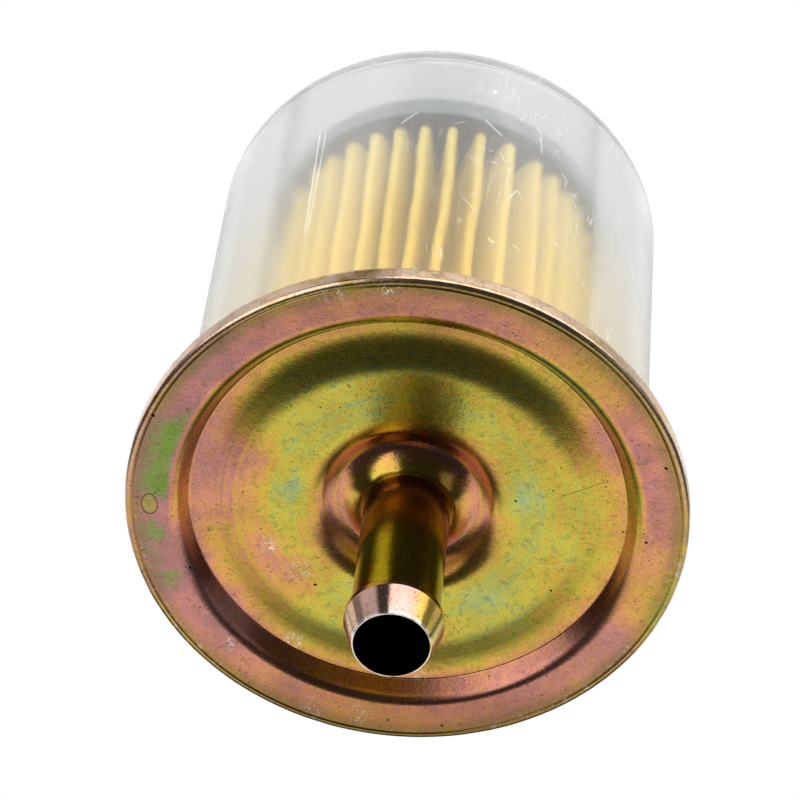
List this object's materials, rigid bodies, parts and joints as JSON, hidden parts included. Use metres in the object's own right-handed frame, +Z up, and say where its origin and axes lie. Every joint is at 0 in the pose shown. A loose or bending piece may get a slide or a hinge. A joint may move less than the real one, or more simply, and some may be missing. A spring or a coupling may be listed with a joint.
{
  "type": "fuel filter",
  "caption": "In-line fuel filter: clear cup crimped to a plated cover with a steel outlet nipple, around a pleated paper element.",
  "frame": {"origin": "on the filter's axis, at the middle of its overall length", "axes": "filter lying on its side: -Y along the axis out of the steel outlet nipple, +Y out of the moulded inlet nipple, +Z up"},
  "size_m": [0.052, 0.0878, 0.052],
  "materials": {
    "plated_cover": "yellow chromate plated, iridescent",
    "gasket_rubber": "matt black",
    "plated_pipe": "yellow chromate plated, iridescent",
    "braze": "plated over, bright",
    "clear_plastic": "clear, slightly milky",
    "grommet_rubber": "matt black",
    "cap_tinplate": "dull grey",
    "potting_resin": "cast resin",
    "filter_paper": "resin treated paper, cream",
    "core_steel": "perforated sheet"
  },
  "bodies": {
    "root": {"cover_plate": "plated_cover", "cover_gasket": "gasket_rubber", "outlet_pipe": "plated_pipe", "outlet_braze_ring": "braze", "filter_cup": "clear_plastic", "outlet_grommet": "grommet_rubber", "outlet_end_cap": "cap_tinplate", "outlet_potting": "potting_resin", "pleated_paper": "filter_paper", "centre_tube": "core_steel", "closed_end_cap": "cap_tinplate", "closed_potting": "potting_resin"}
  },
  "joints": []
}
